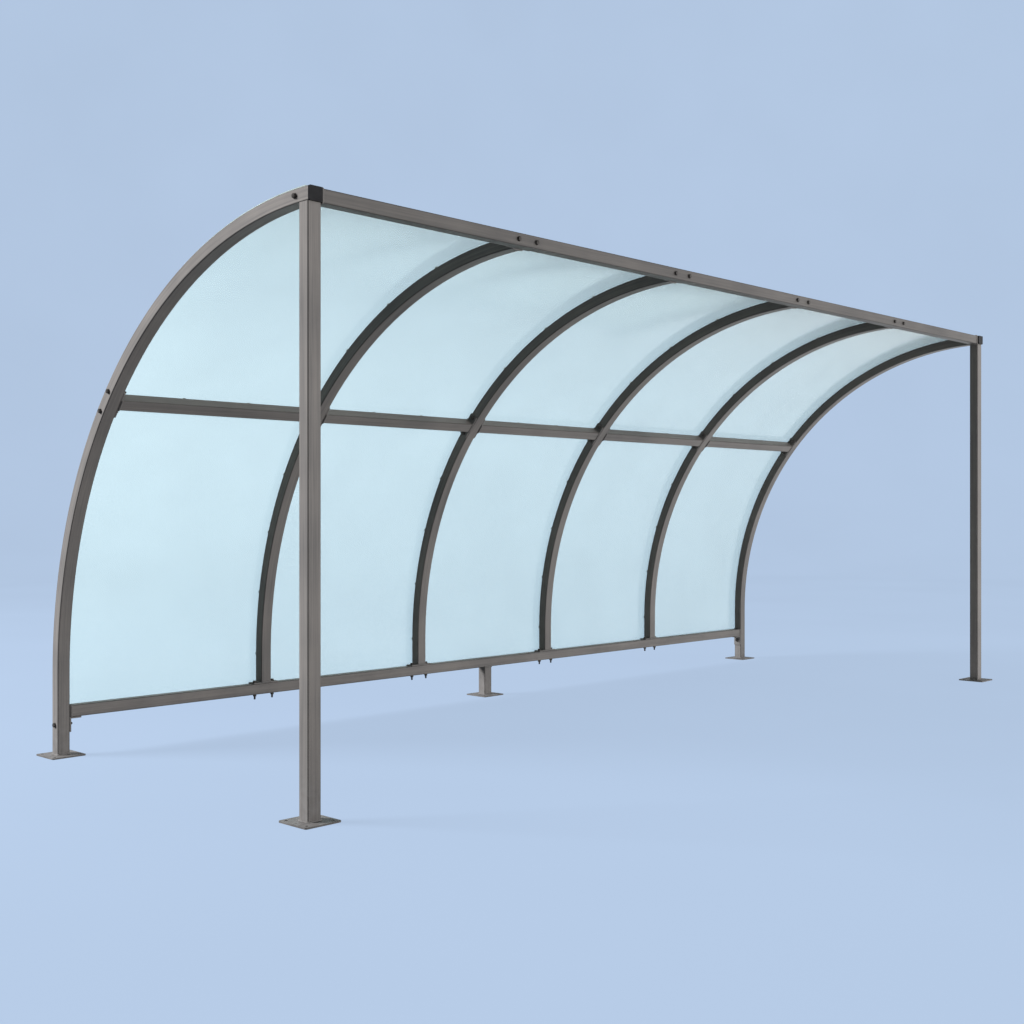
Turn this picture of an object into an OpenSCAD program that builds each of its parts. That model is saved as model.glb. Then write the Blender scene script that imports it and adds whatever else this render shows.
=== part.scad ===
// Bike shelter: an open frame of square steel tube with a quarter-barrel back and roof
// of clear curved sheet. Millimetres. +X runs along the shelter, +Y from the open front
// to the back, +Z up. The origin is on the ground, under the middle of the whole shelter.

/* [Shelter] */
// Length over the outer faces of the two end ribs
shelter_length = 5110; // [4250:10:6140]
// Radius of the curve, to the outside of the ribs
curve_radius = 1750; // [1450:5:2100]
// Height above the ground at which the ribs start to curve
leg_height = 350; // [290:5:420]
// Distance between the centre lines of neighbouring inner ribs
bay_pitch = 1000; // [830:5:1200]
// Straight end of each end rib, ahead of the top of the curve
rib_nose = 10; // [6:1:20]

/* [Tube] */
// Width of the ribs and posts, along the shelter
tube_width = 55; // [45:1:66]
// Depth of the ribs and posts, and side of the square rails
tube_depth = 50; // [41:1:60]
// Wall thickness of every tube
tube_wall = 3; // [2:0.5:4]
// Outer corner radius of every tube
tube_corner = 5; // [4.2:0.2:6]

/* [Feet] */
// Side of the square base plates
base_side = 150; // [130:1:180]
// Thickness of the base plates
base_thick = 6; // [4:0.5:8]
// Distance between the fixing holes in a base plate
base_hole_pitch = 110; // [96:1:114]
// Diameter of the fixing holes in a base plate
base_hole_d = 12; // [8:0.5:14]
// Corner radius of the base plates
base_corner = 8; // [4:1:12]

/* [Rails] */
// Height of the underside of the bottom rail above the ground
rail_height = 160; // [130:5:200]
// Angle of the middle rail up the curve, in degrees from the back
mid_angle = 40.4; // [33.6:0.2:48.6]

/* [Joint plates] */
// Thickness of the plates welded to the ends of the tubes
plate_thick = 6; // [4:0.5:8]
// Length of the plates at the foot and the head of each inner rib
rib_plate_length = 140; // [126:2:156]
// Length of the plates at the ends of the middle rails, along the rib
mid_plate_length = 126; // [116:2:140]
// Depth of the plates at the ends of the header, from the front
header_plate_depth = 92; // [84:1:104]
// How far the bottom rail's brackets reach below the rail
bracket_drop = 62; // [50:1:72]
// Length of the bracket leg under the bottom rail
bracket_leg = 52; // [40:1:64]

/* [Sheets] */
// Thickness of the curved sheets
sheet_thick = 5; // [3:0.5:8]
// Gap between neighbouring sheets
sheet_gap = 4; // [2:0.5:8]
// Distance of the end sheets from the outer faces of the end ribs
sheet_inset = 8; // [6:1:14]
// How far the top sheets lie on the header
sheet_lap = 25; // [15:1:32]
// How far the bottom sheets hang down over the bottom rail
sheet_drop = 38; // [20:1:44]

/* [Caps] */
// Thickness of the plastic caps that show at the front of the end ribs
cap_face = 8; // [4:0.5:12]
// How far the caps reach into the tubes
cap_plug = 30; // [20:1:40]

/* [Hidden] */
INNER_RIBS = 4;
BAYS = INNER_RIBS + 1;
$fn = 96;

FRAME_COLOUR = "#6e6864";
SHEET_COLOUR = "#c7dee7";
CAP_COLOUR = "#17181a";

curve_fn = 360;                               // steps in a full turn of the curve
seat = 0.3;                                   // clearance between the tubes and the sheets
plug_fit = 0.3;                               // clearance of the caps inside the tubes
full_depth = curve_radius + rib_nose;         // front of the posts to the back of the ribs
top_height = leg_height + curve_radius;       // top of the ribs
centre_radius = curve_radius - tube_depth / 2;
inner_radius = curve_radius - tube_depth;
sheet_radius = curve_radius + seat;
post_height = leg_height + run_height(inner_radius, tube_depth);     // touches the ribs' underside
header_top = leg_height + run_height(curve_radius, tube_depth);      // level with the curve behind it
header_z = header_top - tube_depth / 2;
mid_radius = sqrt(pow(curve_radius, 2) - pow(tube_depth / 2, 2)) - tube_depth / 2;
header_back = tube_depth;
rail_top = rail_height + tube_depth;
rail_front = full_depth - tube_depth;
end_x = (shelter_length - tube_width) / 2;    // centre line of an end rib
foot_y = full_depth - tube_depth / 2;         // centre line of the rear feet
post_y = tube_depth / 2;
head_face = header_back + plate_thick;        // where the inner ribs stop, behind the header
plate_height = tube_depth - 2;                // width of the plates, just inside the tubes
header_plate_height = tube_depth - 6;         // lower, because the curve drops behind the header
origin_y = (foot_y + post_y) / 2;             // middle of the base plates, front to back
rib_x = concat([-end_x],
               [for (i = [0 : INNER_RIBS - 1]) (i - (INNER_RIBS - 1) / 2) * bay_pitch],
               [end_x]);
split = sheet_gap / 2 / sheet_radius * 180 / PI;   // half a sheet gap, as an angle
lap_angle = acos((header_back - sheet_lap - rib_nose) / sheet_radius);

// Height above the centre of a curve of the given radius, a distance behind the front
function run_height(radius, distance) = sqrt(pow(radius, 2) - pow(distance - rib_nose, 2));

// A rectangle with round corners, centred
module rounded_rect(width, height, radius) {
    square([width - 2 * radius, height], center = true);
    square([width, height - 2 * radius], center = true);
    for (x = [-1, 1], y = [-1, 1])
        translate([x * (width / 2 - radius), y * (height / 2 - radius)]) circle(radius);
}

// Cross-section of a tube
module tube_section(width, height) {
    difference() {
        rounded_rect(width, height, tube_corner);
        rounded_rect(width - 2 * tube_wall, height - 2 * tube_wall, tube_corner - tube_wall);
    }
}

// A tube that stands up from z = 0, its section in the XY plane
module upright_tube(width, depth, length) {
    linear_extrude(length) tube_section(width, depth);
}

// A tube that lies along +X from x = 0, centred on the X axis
module level_tube(depth, height, length) {
    rotate([90, 0, 90]) linear_extrude(length) tube_section(depth, height);
}

// Turns a shape drawn about the Z axis so that it bends about the X axis, with angle 0
// at the back and 90 degrees at the top, around the middle of the shelter's curve
module on_curve() {
    translate([0, rib_nose, leg_height]) rotate([90, 0, 90]) children();
}

// A stretch of the curve with a given section, whose x is the radius
module curve_sweep(from_angle, to_angle) {
    on_curve() rotate([0, 0, from_angle])
        rotate_extrude(angle = to_angle - from_angle, $fn = curve_fn) children();
}

// The tube's section, set out at the radius of the ribs
module rib_section() {
    translate([centre_radius, 0]) tube_section(tube_depth, tube_width);
}

// Moves everything from the front corner frame to the origin under the middle
module place(x = 0, y = 0, z = 0) {
    translate([x, y - origin_y, z]) children();
}

// A rib from the height of its foot round to the top of the curve
module rib_leg_and_curve(x, foot) {
    place(x, foot_y, foot) upright_tube(tube_width, tube_depth, leg_height - foot);
    place(x) curve_sweep(0, 90) rib_section();
}

// An end rib: a leg, a quarter turn and a short nose that the cap closes
module end_rib(x) {
    color(FRAME_COLOUR) union() {
        rib_leg_and_curve(x, base_thick);
        place(x, rib_nose, top_height - tube_depth / 2) rotate([90, 0, 0])
            linear_extrude(rib_nose) tube_section(tube_width, tube_depth);
    }
}

// An inner rib: it stands on the bottom rail and stops behind the header
module inner_rib(i) {
    color(FRAME_COLOUR) difference() {
        rib_leg_and_curve(rib_x[i], rail_top + plate_thick);
        place(rib_x[i] - tube_width, head_face - base_side, post_height - tube_depth)
            cube([2 * tube_width, base_side, 3 * tube_depth]);
    }
}

// The header, level along the front between the end ribs
module header_beam() {
    start = -end_x + tube_width / 2 + plate_thick;
    color(FRAME_COLOUR) place(start, post_y, header_z)
        level_tube(tube_depth, tube_depth, -2 * start);
}

// The bottom rail, level along the back between the end ribs
module bottom_rail() {
    start = -end_x + tube_width / 2 + plate_thick;
    color(FRAME_COLOUR) place(start, foot_y, rail_height + tube_depth / 2)
        level_tube(tube_depth, tube_depth, -2 * start);
}

// A shape set on the curve at the middle rail's angle, +Y up along the curve
module at_mid_rail(x) {
    place(x) on_curve() rotate([0, 0, mid_angle]) translate([mid_radius, 0, 0])
        children();
}

// A length of the middle rail, between two ribs
module mid_rail(i) {
    start = rib_x[i - 1] + tube_width / 2 + plate_thick;
    stop = rib_x[i] - tube_width / 2 - plate_thick;
    color(FRAME_COLOUR) at_mid_rail(start)
        linear_extrude(stop - start) tube_section(tube_depth, tube_depth);
}

// A front post, from its base plate to the underside of an end rib
module post(x) {
    color(FRAME_COLOUR) place(x, post_y, base_thick)
        upright_tube(tube_width, tube_depth, post_height - base_thick);
}

// The foot under the middle of the bottom rail
module centre_foot() {
    color(FRAME_COLOUR) place(0, foot_y, base_thick)
        upright_tube(tube_width, tube_depth, rail_height - base_thick);
}

// A base plate with four fixing holes
module base_plate(x, y) {
    color(FRAME_COLOUR) place(x, y) difference() {
        linear_extrude(base_thick) rounded_rect(base_side, base_side, base_corner);
        for (i = [-1, 1], j = [-1, 1])
            translate([i * base_hole_pitch / 2, j * base_hole_pitch / 2, -1])
                cylinder(d = base_hole_d, h = base_thick + 2);
    }
}

// A square cap, pushed into the front end of an end rib
module rib_cap(x) {
    inner_w = tube_width - 2 * (tube_wall + plug_fit);
    inner_d = tube_depth - 2 * (tube_wall + plug_fit);
    color(CAP_COLOUR) place(x, 0, top_height - tube_depth / 2) rotate([90, 0, 0]) {
        linear_extrude(cap_face) rounded_rect(tube_width, tube_depth, tube_corner);
        translate([0, 0, -cap_plug]) linear_extrude(cap_plug)
            rounded_rect(inner_w, inner_d, tube_corner - tube_wall);
    }
}

// Where a sheet starts and stops along the shelter, in bay i
function sheet_start(i) = i == 1 ? -shelter_length / 2 + sheet_inset : rib_x[i - 1] + sheet_gap / 2;
function sheet_stop(i) = i == BAYS ? shelter_length / 2 - sheet_inset : rib_x[i] - sheet_gap / 2;

// A curved piece of sheet outside the ribs
module sheet_curve(i, from_angle, to_angle) {
    start = sheet_start(i);
    place(start) curve_sweep(from_angle, to_angle)
        translate([sheet_radius, 0]) square([sheet_thick, sheet_stop(i) - start]);
}

// A lower sheet: a flat strip behind the bottom rail and the curve up to the middle rail
module lower_sheet(i) {
    start = sheet_start(i);
    foot = rail_top - sheet_drop;
    color(SHEET_COLOUR, 0.6) union() {
        place(start, full_depth + seat, foot) cube([sheet_stop(i) - start, sheet_thick, leg_height - foot]);
        sheet_curve(i, 0, mid_angle - split);
    }
}

// An upper sheet: from the middle rail over to the header
module upper_sheet(i) {
    color(SHEET_COLOUR, 0.6) sheet_curve(i, mid_angle + split, lap_angle);
}

// Plates between the inner ribs' feet and the bottom rail
module rib_foot_plates() {
    color(FRAME_COLOUR) for (i = [1 : INNER_RIBS])
        place(rib_x[i], foot_y, rail_top) linear_extrude(plate_thick)
            rounded_rect(rib_plate_length, plate_height, tube_corner);
}

// Plates between the inner ribs' heads and the header
module rib_head_plates() {
    color(FRAME_COLOUR) for (i = [1 : INNER_RIBS])
        place(rib_x[i], head_face, header_z) rotate([90, 0, 0])
            linear_extrude(plate_thick) rounded_rect(rib_plate_length, plate_height, tube_corner);
}

// Plates at both ends of every length of the middle rail
module mid_rail_plates() {
    color(FRAME_COLOUR) for (i = [1 : BAYS],
                             x = [rib_x[i - 1] + tube_width / 2, rib_x[i] - tube_width / 2 - plate_thick])
        at_mid_rail(x) linear_extrude(plate_thick)
            rounded_rect(plate_height, mid_plate_length, tube_corner);
}

// Brackets at both ends of the bottom rail: one leg down the rib, one under the rail
module bottom_rail_brackets() {
    low = rail_height - bracket_drop;
    color(FRAME_COLOUR) for (side = [0, 1]) mirror([side, 0, 0])
        place(-end_x + tube_width / 2, foot_y + plate_height / 2) rotate([90, 0, 0])
            linear_extrude(plate_height) polygon([
                [0, low], [plate_thick, low], [plate_thick, rail_height - plate_thick],
                [bracket_leg, rail_height - plate_thick], [bracket_leg, rail_height],
                [plate_thick, rail_height], [plate_thick, rail_top], [0, rail_top]
            ]);
}

// Plates at both ends of the header
module header_plates() {
    color(FRAME_COLOUR) for (side = [0, 1]) mirror([side, 0, 0])
        place(-end_x + tube_width / 2, header_plate_depth / 2, header_z)
            rotate([90, 0, 90]) linear_extrude(plate_thick)
                rounded_rect(header_plate_depth, header_plate_height, tube_corner);
}

end_rib(-end_x);  // left_end_rib
end_rib(end_x);  // right_end_rib
for (i = [1 : INNER_RIBS]) inner_rib(i);
header_beam();
bottom_rail();
for (i = [1 : BAYS]) mid_rail(i);
post(-end_x);  // left_post
post(end_x);  // right_post
centre_foot();
base_plate(-end_x, post_y);  // left_post_plate
base_plate(end_x, post_y);  // right_post_plate
base_plate(-end_x, foot_y);  // left_rib_plate
base_plate(end_x, foot_y);  // right_rib_plate
base_plate(0, foot_y);  // centre_foot_plate
rib_cap(-end_x);  // left_rib_cap
rib_cap(end_x);  // right_rib_cap
for (i = [1 : BAYS]) lower_sheet(i);
for (i = [1 : BAYS]) upper_sheet(i);
rib_foot_plates();
rib_head_plates();
mid_rail_plates();
bottom_rail_brackets();
header_plates();
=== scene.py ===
"""Looks for a curved bike shelter: its finishes, and its bolts, welds and screws.

Every size is in metres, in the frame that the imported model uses: X along the shelter, the open side
towards -Y, the curved back towards +Y, and Z up from the ground.
"""

import logging
import math
from dataclasses import dataclass
from enum import Enum

import bpy
import numpy as np
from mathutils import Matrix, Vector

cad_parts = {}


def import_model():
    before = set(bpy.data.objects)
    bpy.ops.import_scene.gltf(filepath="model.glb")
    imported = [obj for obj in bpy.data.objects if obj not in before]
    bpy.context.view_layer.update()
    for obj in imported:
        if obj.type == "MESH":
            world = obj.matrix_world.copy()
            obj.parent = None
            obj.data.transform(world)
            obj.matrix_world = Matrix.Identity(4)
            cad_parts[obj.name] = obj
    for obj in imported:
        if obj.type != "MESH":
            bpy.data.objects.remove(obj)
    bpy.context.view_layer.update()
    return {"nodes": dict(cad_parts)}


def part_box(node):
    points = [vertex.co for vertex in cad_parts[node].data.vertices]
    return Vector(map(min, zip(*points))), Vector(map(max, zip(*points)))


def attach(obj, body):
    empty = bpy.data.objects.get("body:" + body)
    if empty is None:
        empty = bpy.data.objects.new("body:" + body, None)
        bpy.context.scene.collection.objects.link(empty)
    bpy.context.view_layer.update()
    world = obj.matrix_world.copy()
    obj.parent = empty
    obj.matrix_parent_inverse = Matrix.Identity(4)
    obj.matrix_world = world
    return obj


LOG = logging.getLogger("bike_shelter")
CURVE_RADIUS = 1.75          # outer face of the bent tubes
SMOOTH_BELOW = math.radians(34)  # edges that turn by more than this stay crisp
FULL_TURN = 2 * math.pi
BAYS = range(1, 6)
INNER_RIBS = range(1, 5)

Colour = Point = tuple[float, float, float]
Shade = tuple[float, float, float, float]
Socket, Node, Tree = bpy.types.NodeSocket, bpy.types.Node, bpy.types.NodeTree
Material, Piece = bpy.types.Material, bpy.types.Object


def middle(name: str) -> Point:
    """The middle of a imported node's box."""
    return tuple((low + high) / 2 for low, high in zip(*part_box(name)))


# ---------------- surfaces


def grid_quads(rows: int, cols: int, closed: bool = False) -> np.ndarray:
    """Corner numbers of the faces between rows of points, where each row closes on itself.

    Args:
        rows: how many rows.
        cols: points in a row.
        closed: true if the last row also joins the first.

    Returns:
        Four corner numbers a face.
    """
    row, col = np.meshgrid(np.arange(rows if closed else rows - 1), np.arange(cols), indexing="ij")
    low, high, onward = row * cols, (row + 1) % rows * cols, (col + 1) % cols
    return np.stack([low + col, low + onward, high + onward, high + col], -1).reshape(-1, 4)


@dataclass
class Surface:
    """A mesh held as whole arrays.

    Args:
        points: corner positions, one row each.
        quads: four corner numbers a row.
        tris: three corner numbers a row.
    """

    points: np.ndarray
    quads: np.ndarray
    tris: np.ndarray

    @classmethod
    def from_rings(cls, rings: np.ndarray) -> "Surface":
        """A closed solid skinned over a stack of rings, with each end closed by a fan.

        The rings run anticlockwise seen from the last one, and the fan's tip is the ring's mean point.

        Args:
            rings: positions, as rings by points by 3.

        Returns:
            The closed surface, with its faces outwards.
        """
        rows, cols = rings.shape[:2]
        around = np.arange(cols)
        onward = (around + 1) % cols
        foot, tip, last = rows * cols, rows * cols + 1, (rows - 1) * cols
        tris = np.concatenate([
            np.stack([onward, around, np.full(cols, foot)], -1),
            np.stack([last + around, last + onward, np.full(cols, tip)], -1),
        ])
        ends = np.stack([rings[0].mean(0), rings[-1].mean(0)])
        return cls(np.concatenate([rings.reshape(-1, 3), ends]), grid_quads(rows, cols), tris)

    @classmethod
    def from_loop(cls, grid: np.ndarray) -> "Surface":
        """A closed band that runs round on itself both ways, such as a weld bead.

        Args:
            grid: positions, as steps along the loop by points round the band by 3.

        Returns:
            The closed surface.
        """
        quads = grid_quads(*grid.shape[:2], closed=True)
        return cls(grid.reshape(-1, 3), quads, np.zeros((0, 3), int))

    @classmethod
    def joined(cls, parts: list["Surface"]) -> "Surface":
        """Several surfaces as one mesh, without merging any corners.

        Args:
            parts: the surfaces, in order.

        Returns:
            One surface that holds them all.
        """
        starts = np.cumsum([0] + [len(p.points) for p in parts[:-1]])
        return cls(
            np.concatenate([p.points for p in parts]),
            np.concatenate([p.quads + s for p, s in zip(parts, starts)]),
            np.concatenate([p.tris + s for p, s in zip(parts, starts)]),
        )

    def repeated(self, origins: np.ndarray, frames: np.ndarray) -> "Surface":
        """Copies of this surface, each at its own origin and turned to its own axes.

        A copy's point is its origin plus the point's three numbers along the copy's three axes.

        Args:
            origins: one place a row.
            frames: for each copy, its X, Y and Z axes as three rows.

        Returns:
            One surface with every copy in it.
        """
        count, size = len(origins), len(self.points)
        points = np.einsum("pa,nab->npb", self.points, frames) + origins[:, None, :]
        shift = (np.arange(count) * size)[:, None, None]
        return Surface(
            points.reshape(-1, 3),
            (self.quads[None] + shift).reshape(-1, 4),
            (self.tris[None] + shift).reshape(-1, 3),
        )

    def to_object(self, name: str, material: Material) -> Piece:
        """Puts the arrays into a mesh object at the origin.

        Args:
            name: the piece's name.
            material: its finish.

        Returns:
            The new object, linked to the scene.
        """
        mesh = bpy.data.meshes.new(name)
        mesh.from_pydata(self.points.tolist(), [], self.quads.tolist() + self.tris.tolist())
        mesh.polygons.foreach_set("use_smooth", np.ones(len(mesh.polygons), bool))
        mesh.set_sharp_from_angle(angle=SMOOTH_BELOW)
        mesh.materials.append(material)
        mesh.update()
        piece = bpy.data.objects.new(name, mesh)
        bpy.context.scene.collection.objects.link(piece)
        return piece

    def to_piece(self, name: str, material: Material, slot: str) -> Piece:
        """Makes a piece that rides on the frame.

        Args:
            name: the piece's name.
            material: its finish.
            slot: the record's slot that the finish belongs to; not used.

        Returns:
            The piece.
        """
        piece = self.to_object(name, material)
        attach(piece, "root")
        return piece


def axes_from(out: np.ndarray, turns: np.ndarray) -> np.ndarray:
    """Axes for each copy, with Z along its outward direction and X turned about it.

    X starts as the outward direction crossed with whichever world axis is least like it.

    Args:
        out: outward directions, one row each.
        turns: the turn about each, in radians.

    Returns:
        For each copy, its X, Y and Z axes as three rows.
    """
    z = out / np.linalg.norm(out, axis=1, keepdims=True)
    helper = np.eye(3)[np.abs(z).argmin(axis=1)]
    x = np.cross(helper, z)
    x /= np.linalg.norm(x, axis=1, keepdims=True)
    y = np.cross(z, x)
    cos, sin = np.cos(turns)[:, None], np.sin(turns)[:, None]
    return np.stack([cos * x + sin * y, cos * y - sin * x, z], axis=1)


def turned_solid(radii: np.ndarray, heights: np.ndarray, sides: int) -> Surface:
    """A solid of rings about the Z axis.

    At ring i and angle a the point is (r cos a, r sin a, h), where r is that ring's radius there.

    Args:
        radii: one radius for each ring, or rings by sides.
        heights: one height for each ring, rising.
        sides: points round each ring.

    Returns:
        The closed solid.
    """
    angle = np.arange(sides) / sides * FULL_TURN
    radius = np.broadcast_to(radii.reshape(len(heights), -1), (len(heights), sides))
    height = np.broadcast_to(heights[:, None], (len(heights), sides))
    return Surface.from_rings(np.stack([radius * np.cos(angle), radius * np.sin(angle), height], -1))


def rounded_outline(
    half_x: float, half_y: float, corner: float, count: int,
) -> tuple[np.ndarray, np.ndarray]:
    """Evenly spaced points round a rounded rectangle, with their outward directions.

    Each corner is a quarter circle about its own centre, and straight runs join them. The points are
    found by length along that outline.

    Args:
        half_x: half the width.
        half_y: half the depth.
        corner: the corner radius.
        count: how many points.

    Returns:
        The points and the outward directions, one row of two numbers each.
    """
    steps = 9
    angle = (np.arange(4)[:, None] * 90 + np.linspace(0, 90, steps)[None, :]) * math.pi / 180
    signs = np.array([[1, 1], [-1, 1], [-1, -1], [1, -1]])[:, None, :]
    centre = signs * np.array([half_x - corner, half_y - corner])
    outward = np.stack([np.cos(angle), np.sin(angle)], -1)
    outline, outward = (centre + corner * outward).reshape(-1, 2), outward.reshape(-1, 2)
    outline, outward = np.vstack([outline, outline[:1]]), np.vstack([outward, outward[:1]])
    length = np.concatenate([[0], np.cumsum(np.linalg.norm(np.diff(outline, axis=0), axis=1))])
    at = np.arange(count) / count * length[-1]
    points = np.stack([np.interp(at, length, outline[:, i]) for i in range(2)], -1)
    normals = np.stack([np.interp(at, length, outward[:, i]) for i in range(2)], -1)
    return points, normals / np.linalg.norm(normals, axis=1, keepdims=True)


# ---------------- the shelter's own places


@dataclass(frozen=True)
class ShelterPlan:
    """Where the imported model's members are, read from its boxes.

    Args:
        left_face: X of the left end rib's outer face.
        right_face: X of the right end rib's outer face.
        rib_x: X of each inner rib's centre.
        rib_width: width of a rib along X.
        tube_depth: the other side of the tube.
        curve_y: Y of the centre of the curve.
        curve_z: Z of the centre of the curve.
        mid_angle: angle of the middle rails, from the back of the curve towards the top, in radians.
        mid_radius: distance of the middle rails' centres from the centre of the curve.
    """

    left_face: float
    right_face: float
    rib_x: tuple[float, ...]
    rib_width: float
    tube_depth: float
    curve_y: float
    curve_z: float
    mid_angle: float
    mid_radius: float

    @classmethod
    def from_frame(cls) -> "ShelterPlan":
        """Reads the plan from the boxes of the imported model's nodes."""
        left_lo, left_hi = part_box("left_end_rib")
        header_lo, header_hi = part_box("header_beam")
        curve_y, curve_z = left_hi.y - CURVE_RADIUS, left_hi.z - CURVE_RADIUS
        rail = middle("mid_rail_3")
        rail_y, rail_z = rail[1] - curve_y, rail[2] - curve_z
        return cls(
            left_face=left_lo.x,
            right_face=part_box("right_end_rib")[1].x,
            rib_x=tuple(middle(f"inner_rib_{i}")[0] for i in INNER_RIBS),
            rib_width=left_hi.x - left_lo.x,
            tube_depth=header_hi.y - header_lo.y,
            curve_y=curve_y,
            curve_z=curve_z,
            mid_angle=math.atan2(rail_z, rail_y),
            mid_radius=math.hypot(rail_y, rail_z),
        )

    def on_curve(self, x: np.ndarray, radius: float, angle: np.ndarray) -> np.ndarray:
        """Points of the curve: Y and Z are its centre plus the radius times (cos, sin) of the angle."""
        y = self.curve_y + radius * np.cos(angle)
        z = self.curve_z + radius * np.sin(angle)
        return np.stack(np.broadcast_arrays(x, y, z), -1)


# ---------------- shader helpers


class ShaderGraph:
    """A short way to add nodes to one tree and wire them."""

    def __init__(self, tree: Tree) -> None:
        """Keeps the tree, which the caller has emptied."""
        self.tree = tree

    def feed(self, node: Node, inputs: dict) -> None:
        """Feeds a node's inputs.

        Args:
            node: the node.
            inputs: for each input's name or number, a plain value or the socket that feeds it.
        """
        for key, value in inputs.items():
            if isinstance(value, Socket):
                self.tree.links.new(value, node.inputs[key])
            else:
                node.inputs[key].default_value = value

    def add(self, kind: str, inputs: dict | None = None, **settings: object) -> Node:
        """Adds a node, sets its options, and feeds its inputs.

        Args:
            kind: the node's type name, without ShaderNode if it starts with that.
            inputs: as feed takes them.
            settings: the node's own options.

        Returns:
            The new node.
        """
        node = self.tree.nodes.new(kind if kind.startswith("NodeGroup") else f"ShaderNode{kind}")
        for option, value in settings.items():
            setattr(node, option, value)
        self.feed(node, inputs or {})
        return node

    def group(self, tree: Tree, inputs: dict) -> Node:
        """Places a shared group."""
        return self.add("Group", inputs, node_tree=tree)

    def split(self, vector: Socket) -> list[Socket]:
        """A vector's three numbers."""
        return list(self.add("SeparateXYZ", {0: vector}).outputs)

    def join(self, *numbers: object) -> Socket:
        """A vector made of three numbers."""
        return self.add("CombineXYZ", dict(enumerate(numbers))).outputs[0]

    def bump(self, strength: float, distance: float, height: Socket) -> Socket:
        """A normal tilted by a height."""
        inputs = {"Strength": strength, "Distance": distance, "Height": height}
        return self.add("Bump", inputs).outputs[0]

    def math(self, operation: str, *values: object, clamp: bool = False) -> Socket:
        """A Math node's result, from numbers or sockets."""
        inputs = dict(enumerate(values))
        return self.add("Math", inputs, operation=operation, use_clamp=clamp).outputs[0]

    def weighed(self, first: object, second: object, share: float) -> Socket:
        """The first value times the share, plus the second times the rest."""
        rest = self.math("MULTIPLY", second, 1 - share)
        return self.math("ADD", self.math("MULTIPLY", first, share), rest)

    def vector_math(self, operation: str, *values: object) -> Socket:
        """A Vector Math node's vector result, from vectors or sockets."""
        return self.add("VectorMath", dict(enumerate(values)), operation=operation).outputs[0]

    def noise(self, vector: object, scale: float, detail: float = 2.0, rough: float = 0.5) -> Socket:
        """A Noise Texture's value, about a half on average."""
        inputs = {"Vector": vector, "Scale": scale, "Detail": detail, "Roughness": rough}
        return self.add("TexNoise", inputs).outputs["Fac"]

    def span(
        self, value: object, low: float, high: float, to_low: float = 0.0, to_high: float = 1.0,
    ) -> Socket:
        """A value's range carried onto another range, and held inside it."""
        inputs = {0: value, 1: low, 2: high, 3: to_low, 4: to_high}
        return self.add("MapRange", inputs).outputs[0]

    def blend(self, share: object, first: object, second: object, how: str = "MIX") -> Socket:
        """Two colours mixed by a share."""
        inputs = {0: share, 6: first, 7: second}
        return self.add("Mix", inputs, data_type="RGBA", blend_type=how).outputs[2]


def empty_group(
    name: str, inputs: dict[str, str], outputs: dict[str, str],
) -> tuple[ShaderGraph, Node, Node]:
    """Starts a node group with named sockets.

    Args:
        name: the group's name.
        inputs: for each input, its socket kind: Float, Vector or Color.
        outputs: for each output, the same.

    Returns:
        The graph, its input node and its output node.
    """
    tree = bpy.data.node_groups.new(name, "ShaderNodeTree")
    for label, kind in inputs.items():
        tree.interface.new_socket(label, in_out="INPUT", socket_type=f"NodeSocket{kind}")
    for label, kind in outputs.items():
        tree.interface.new_socket(label, in_out="OUTPUT", socket_type=f"NodeSocket{kind}")
    graph = ShaderGraph(tree)
    return graph, graph.add("NodeGroupInput"), graph.add("NodeGroupOutput")


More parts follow.
